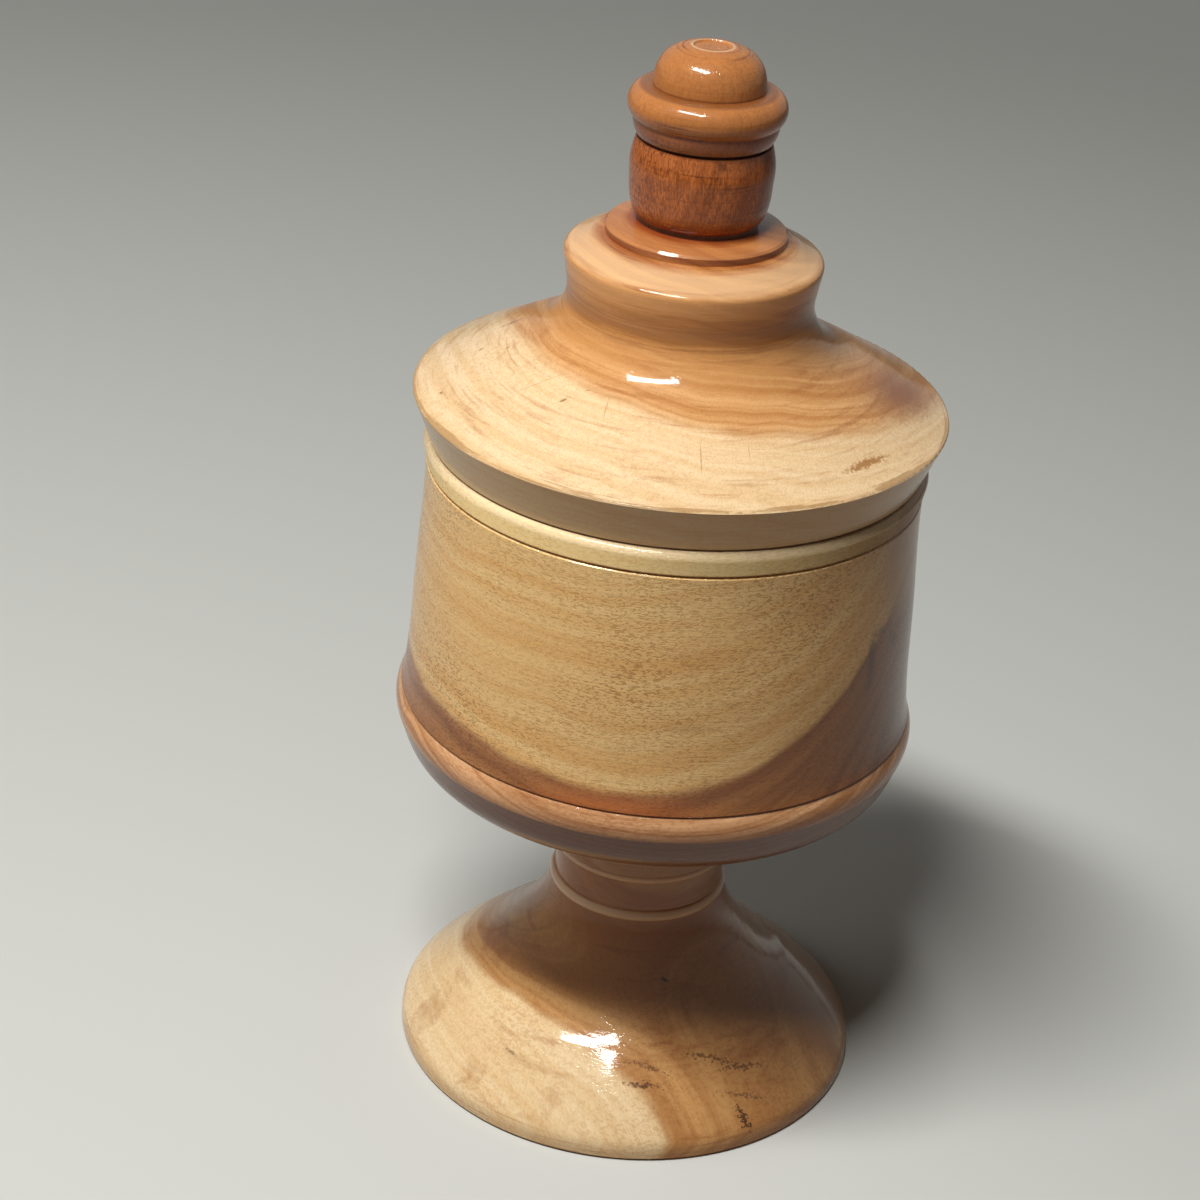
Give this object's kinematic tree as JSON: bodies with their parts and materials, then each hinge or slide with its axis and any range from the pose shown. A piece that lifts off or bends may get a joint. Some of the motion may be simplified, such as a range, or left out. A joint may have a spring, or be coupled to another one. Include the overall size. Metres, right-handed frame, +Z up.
{
  "type": "lidded wooden bowl",
  "caption": "Turned wooden bowl on a flared pedestal foot, closed by a lift-off lid with a stepped, domed knob.",
  "frame": {"origin": "centre of the foot's rim, on the table that it stands on", "axes": "+Z up along the turning axis, through the foot, bowl, lid and knob; X and Y lie in the table"},
  "size_m": [0.1392, 0.1392, 0.2884],
  "materials": {
    "body_wood": "gloss lacquer",
    "knob_wood": "gloss lacquer"
  },
  "bodies": {
    "bowl_body": {"foot": "body_wood", "bowl_base": "body_wood", "bowl": "body_wood"},
    "lid_body": {"lid": "body_wood", "knob": "knob_wood"}
  },
  "joints": [
    {"name": "lid_lift", "type": "slide", "parent": "bowl_body", "child": "lid_body", "axis": [0, 0, 1], "range_m": [0, 0.1]}
  ]
}
